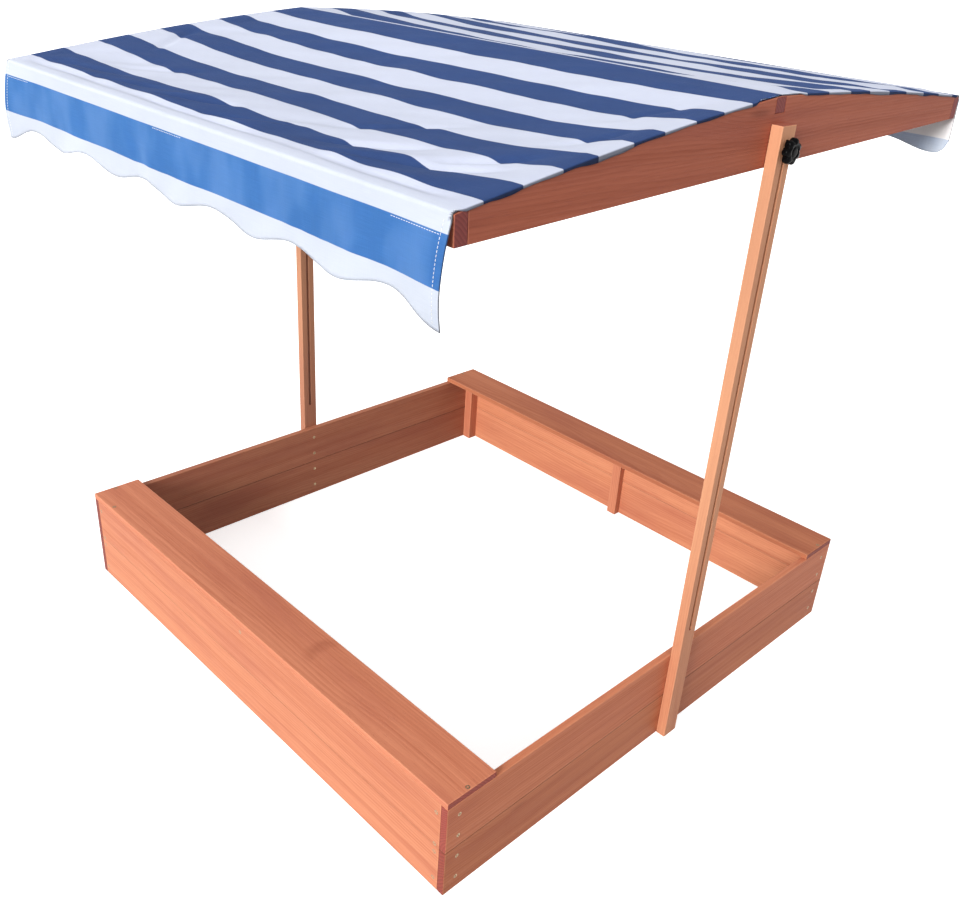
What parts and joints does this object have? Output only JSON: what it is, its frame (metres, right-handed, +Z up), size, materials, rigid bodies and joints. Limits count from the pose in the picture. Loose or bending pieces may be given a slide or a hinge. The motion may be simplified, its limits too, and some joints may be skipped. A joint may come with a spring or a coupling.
{
  "type": "sandbox with canopy",
  "caption": "Square wooden sandbox with two bench boards and a striped fabric roof that slides up and down on two slotted posts, tilts, and is held by star knobs.",
  "frame": {"origin": "on the ground, in the middle of the object's footprint, which is the middle of the box", "axes": "+X along the roof's ridge from the left post to the right post; +Y across the box from the front seat to the back seat; +Z up"},
  "size_m": [1.2522, 1.274, 1.2053],
  "materials": {
    "plank_fir": "matte",
    "seat_fir": "matte",
    "post_fir": "matte",
    "cleat_fir": "matte",
    "roof_fir": "matte",
    "striped_fabric": "matte",
    "black_plastic": "satin",
    "zinc_steel": "satin"
  },
  "bodies": {
    "sandbox": {"back_plank_lower": "plank_fir", "back_plank_upper": "plank_fir", "back_seat": "seat_fir", "corner_cleat_back_left": "cleat_fir", "corner_cleat_back_right": "cleat_fir", "corner_cleat_front_left": "cleat_fir", "corner_cleat_front_right": "cleat_fir", "front_plank_lower": "plank_fir", "front_plank_upper": "plank_fir", "front_seat": "seat_fir", "left_back_screw_1": "zinc_steel", "left_back_screw_2": "zinc_steel", "left_back_screw_3": "zinc_steel", "left_back_screw_4": "zinc_steel", "left_front_screw_1": "zinc_steel", "left_front_screw_2": "zinc_steel", "left_front_screw_3": "zinc_steel", "left_front_screw_4": "zinc_steel", "left_plank_lower": "plank_fir", "left_plank_upper": "plank_fir", "left_post": "post_fir", "left_post_screw_1": "zinc_steel", "left_post_screw_2": "zinc_steel", "left_post_screw_3": "zinc_steel", "left_post_screw_4": "zinc_steel", "mid_cleat_back": "cleat_fir", "mid_cleat_front": "cleat_fir", "right_back_screw_1": "zinc_steel", "right_back_screw_2": "zinc_steel", "right_back_screw_3": "zinc_steel", "right_back_screw_4": "zinc_steel", "right_front_screw_1": "zinc_steel", "right_front_screw_2": "zinc_steel", "right_front_screw_3": "zinc_steel", "right_front_screw_4": "zinc_steel", "right_plank_lower": "plank_fir", "right_plank_upper": "plank_fir", "right_post": "post_fir", "right_post_screw_1": "zinc_steel", "right_post_screw_2": "zinc_steel", "right_post_screw_3": "zinc_steel", "right_post_screw_4": "zinc_steel"},
    "clamps": {"left_clamp_bolt": "zinc_steel", "left_inner_washer": "zinc_steel", "left_outer_washer": "zinc_steel", "right_clamp_bolt": "zinc_steel", "right_inner_washer": "zinc_steel", "right_outer_washer": "zinc_steel"},
    "canopy": {"back_eave_beam": "roof_fir", "canopy_back_valance": "striped_fabric", "canopy_front_valance": "striped_fabric", "canopy_top": "striped_fabric", "front_eave_beam": "roof_fir", "left_gable": "roof_fir", "ridge_bar": "roof_fir", "right_gable": "roof_fir"},
    "right_knob": {"right_star_knob": "black_plastic"},
    "left_knob": {"left_star_knob": "black_plastic"}
  },
  "joints": [
    {"name": "roof_height", "type": "slide", "parent": "sandbox", "child": "clamps", "axis": [0, 0, 1], "range_m": [-0.781, 0.01]},
    {"name": "roof_tilt", "type": "hinge", "parent": "clamps", "child": "canopy", "pos_m": [0, 0, 1.131], "axis": [1, 0, 0], "range_deg": [-12, 8.4]},
    {"name": "right_knob_turn", "type": "hinge", "parent": "clamps", "child": "right_knob", "pos_m": [0.62, 0, 1.131], "axis": [1, 0, 0], "continuous": true},
    {"name": "left_knob_turn", "type": "hinge", "parent": "clamps", "child": "left_knob", "pos_m": [-0.62, 0, 1.131], "axis": [1, 0, 0], "continuous": true}
  ]
}
